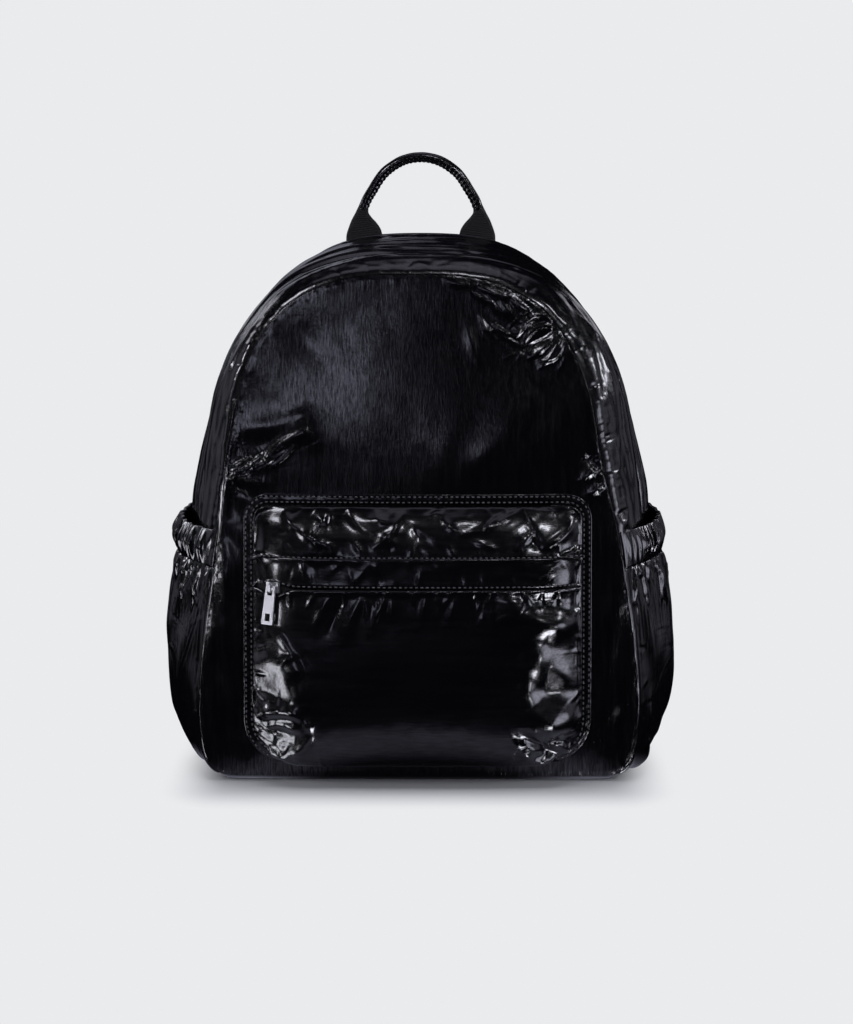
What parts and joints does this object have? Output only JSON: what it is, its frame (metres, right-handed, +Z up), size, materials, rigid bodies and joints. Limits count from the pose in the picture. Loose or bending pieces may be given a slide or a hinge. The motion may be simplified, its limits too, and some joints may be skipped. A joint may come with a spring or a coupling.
{
  "type": "mini backpack",
  "caption": "Small soft backpack with an arched zip, a zipped front pocket, elasticated side pockets, a rolled carrying handle and shoulder straps.",
  "frame": {"origin": "on the surface the bag stands on, under the middle of its box", "axes": "+X to the right of someone facing the front, +Y towards the back panel, +Z up"},
  "size_m": [0.3012, 0.1714, 0.3665],
  "materials": {
    "coated_nylon": "thin black nylon with a glossy coating and a little wadding",
    "padded_back": "matt black nylon over a thin pad",
    "webbing": "ribbed black polyester webbing",
    "zip_tape": "black nylon coil on woven tape",
    "black_plastic": "moulded black acetal",
    "nickel": "die-cast zinc, nickel plated, satin"
  },
  "bodies": {
    "bag": {"front_panel": "coated_nylon", "base_panel": "coated_nylon", "side_gusset_left": "coated_nylon", "side_gusset_right": "coated_nylon", "zip_strip_front": "coated_nylon", "zip_strip_back": "coated_nylon", "pocket_border": "coated_nylon", "pocket_face": "coated_nylon", "pocket_zip_flap": "coated_nylon", "pocket_top_band": "coated_nylon", "side_pocket_left": "coated_nylon", "side_pocket_right": "coated_nylon", "elastic_band_left": "coated_nylon", "elastic_band_right": "coated_nylon", "handle_grip": "coated_nylon", "shoulder_strap_left": "coated_nylon", "shoulder_strap_right": "coated_nylon", "back_panel": "padded_back", "handle_foot_left": "webbing", "handle_foot_right": "webbing", "strap_webbing_left": "webbing", "strap_webbing_right": "webbing", "main_zip": "zip_tape", "pocket_zip": "zip_tape", "strap_adjuster_left": "black_plastic", "strap_adjuster_right": "black_plastic", "pocket_zip_slider": "nickel", "main_zip_slider": "nickel"},
    "zip_pull": {"zip_puller": "nickel"}
  },
  "joints": [
    {"name": "puller_swing", "type": "hinge", "parent": "bag", "child": "zip_pull", "pos_m": [-0.0859, -0.07623, 0.11745], "axis": [-0.9016, 0.4271, 0.0694], "range_deg": [0, 150]}
  ]
}
